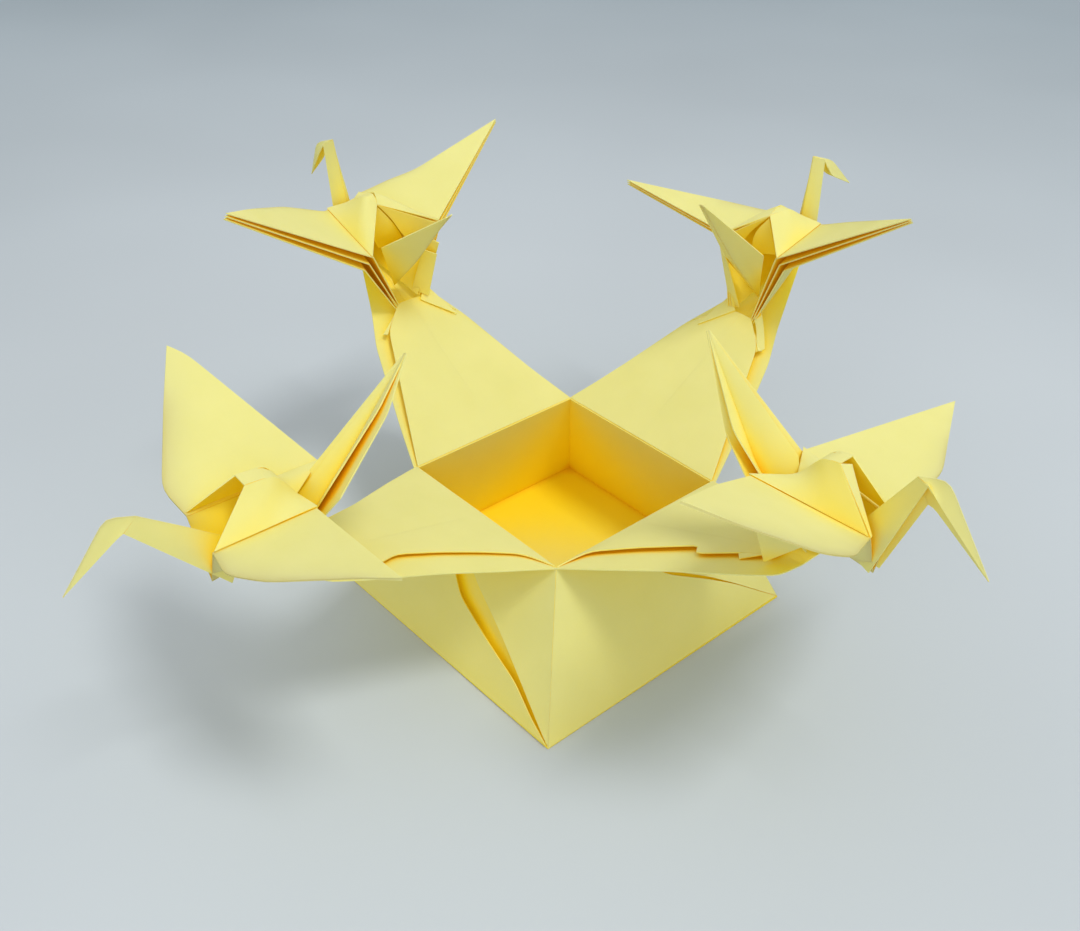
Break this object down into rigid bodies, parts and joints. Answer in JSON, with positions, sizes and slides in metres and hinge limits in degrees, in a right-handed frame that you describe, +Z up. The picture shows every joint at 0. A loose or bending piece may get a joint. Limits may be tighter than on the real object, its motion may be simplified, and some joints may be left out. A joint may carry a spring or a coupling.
{
  "type": "origami box",
  "caption": "Square open paper box with leaning walls, folded from one sheet, with long pointed rim flaps that each end in a folded crane.",
  "frame": {"origin": "centre of the box's square foot, on the surface that it stands on", "axes": "+Z up, with X and Y square to the walls; a crane points along each of +X, -X, +Y and -Y"},
  "size_m": [0.161, 0.175, 0.0795],
  "materials": {
    "yellow_paper": "matt, pale lemon, plain on both sides"
  },
  "bodies": {
    "root": {"folded_sheet": "yellow_paper"}
  },
  "joints": []
}
